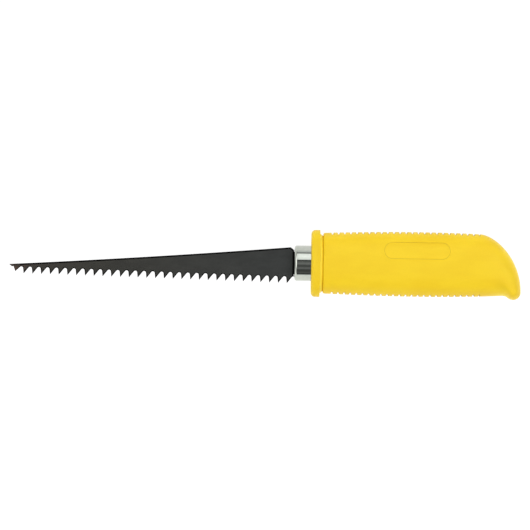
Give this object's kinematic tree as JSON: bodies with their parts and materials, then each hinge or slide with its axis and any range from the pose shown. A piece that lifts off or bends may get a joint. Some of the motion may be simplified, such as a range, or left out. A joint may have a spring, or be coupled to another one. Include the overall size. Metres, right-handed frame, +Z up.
{
  "type": "drywall saw",
  "caption": "Hand saw with a narrow pointed toothed blade, a metal ferrule and a ribbed plastic grip with a finger flange, for cutting openings in plasterboard.",
  "frame": {"origin": "under the middle of the saw, on the surface that it lies on", "axes": "+X along the saw towards the pommel, +Y towards the spine of the blade, +Z up through the thickness"},
  "size_m": [0.2734, 0.0359, 0.0241],
  "materials": {
    "blade_steel": "black lacquered steel, satin, with bare wear at the tooth points",
    "ferrule_chrome": "bright chrome plate",
    "yellow_plastic": "fine satin mould texture",
    "pin_steel": "plain steel"
  },
  "bodies": {
    "root": {"blade": "blade_steel", "ferrule": "ferrule_chrome", "bolster": "yellow_plastic", "left_grip_shell": "yellow_plastic", "right_grip_shell": "yellow_plastic", "front_tang_pin": "pin_steel", "rear_tang_pin": "pin_steel"}
  },
  "joints": []
}
